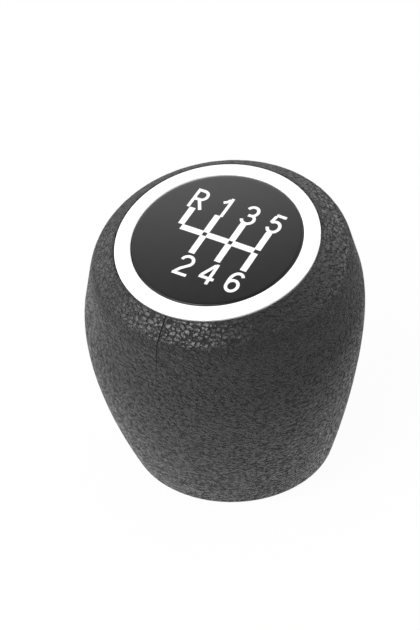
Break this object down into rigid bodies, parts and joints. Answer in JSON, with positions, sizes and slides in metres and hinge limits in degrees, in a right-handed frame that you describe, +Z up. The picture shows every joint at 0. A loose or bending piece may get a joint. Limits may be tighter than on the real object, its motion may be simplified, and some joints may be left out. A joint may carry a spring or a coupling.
{
  "type": "gear shift knob",
  "caption": "Leaning egg-shaped shift knob with a soft grained grip, bright trim ring, domed pattern cap and a blind socket for the gear lever.",
  "frame": {"origin": "where the lever's axis meets the flat base", "axes": "+Z up the lever, +Y to the front of the car, +X to its right-hand side; the top disc leans towards -Y, the driver"},
  "size_m": [0.0534, 0.0505, 0.0549],
  "materials": {
    "grip": "soft self-skinned polyurethane with a fine leather grain",
    "core": "moulded black nylon",
    "ring": "bright plated plastic",
    "cap": "polished black with a white shift pattern",
    "bush": "natural acetal",
    "clip": "spring steel wire"
  },
  "bodies": {
    "root": {"grip_moulding": "grip", "grip_core": "core", "trim_ring": "ring", "pattern_cap": "cap", "lever_bush": "bush", "spring_clip": "clip"}
  },
  "joints": []
}
